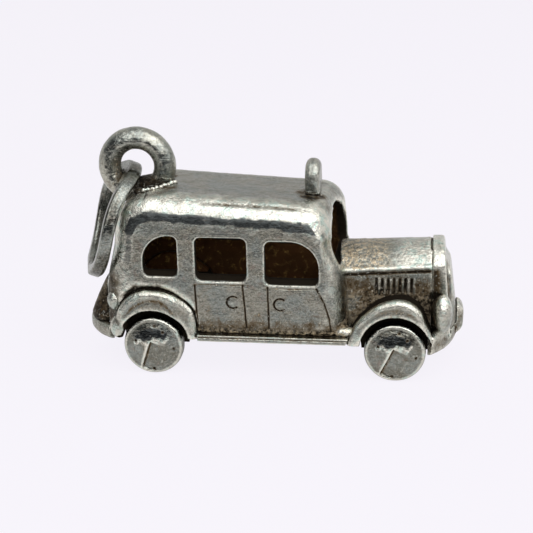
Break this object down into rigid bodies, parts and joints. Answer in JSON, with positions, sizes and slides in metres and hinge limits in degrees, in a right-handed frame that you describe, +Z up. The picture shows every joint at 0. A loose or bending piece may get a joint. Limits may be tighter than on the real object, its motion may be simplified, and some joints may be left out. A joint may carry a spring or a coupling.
{
  "type": "taxi cab bracelet charm",
  "caption": "Small cast silver charm shaped as an old taxi cab, with turning wheels on two axles, a bail on the roof's rear and a loose jump ring.",
  "frame": {"origin": "on the floor under the middle of the whole charm, ring included", "axes": "+X forward, +Y to the cab's left side, +Z up"},
  "size_m": [0.0241, 0.009, 0.0145],
  "materials": {
    "silver_casting": "worn cast sterling silver, brown and black tarnish in the recesses",
    "silver_wheels": "rubbed sterling silver, pitted",
    "silver_bail": "rubbed sterling silver, dark at the solder",
    "silver_wire": "drawn silver wire, lightly tarnished"
  },
  "bodies": {
    "charm_body": {"cab_shell": "silver_casting", "floor_plate": "silver_casting", "bonnet": "silver_casting", "radiator": "silver_casting", "front_bumper": "silver_casting", "rear_bumper": "silver_casting", "boot": "silver_casting", "roof_sign": "silver_casting", "bail_loop": "silver_bail", "axle_carrier_front": "silver_casting", "axle_carrier_rear": "silver_casting", "front_wing_left": "silver_casting", "front_wing_right": "silver_casting", "rear_wing_left": "silver_casting", "rear_wing_right": "silver_casting", "running_board_left": "silver_casting", "running_board_right": "silver_casting", "headlamp_left": "silver_casting", "headlamp_right": "silver_casting", "tail_lamp_left": "silver_casting", "tail_lamp_right": "silver_casting"},
    "front_wheels": {"axle_front": "silver_wheels", "wheel_front_left": "silver_wheels", "wheel_front_right": "silver_wheels"},
    "rear_wheels": {"axle_rear": "silver_wheels", "wheel_rear_left": "silver_wheels", "wheel_rear_right": "silver_wheels"},
    "hanging_ring": {"jump_ring": "silver_wire"}
  },
  "joints": [
    {"name": "front_wheels_turn", "type": "hinge", "parent": "charm_body", "child": "front_wheels", "pos_m": [0.0081, 0, 0.00185], "axis": [0, 1, 0], "continuous": true},
    {"name": "rear_wheels_turn", "type": "hinge", "parent": "charm_body", "child": "rear_wheels", "pos_m": [-0.0066, 0, 0.00185], "axis": [0, 1, 0], "continuous": true},
    {"name": "ring_swing", "type": "hinge", "parent": "charm_body", "child": "hanging_ring", "pos_m": [-0.00822, 0, 0.01187], "axis": [-0.2588, 0.9659, 0], "range_deg": [0, 200]}
  ]
}
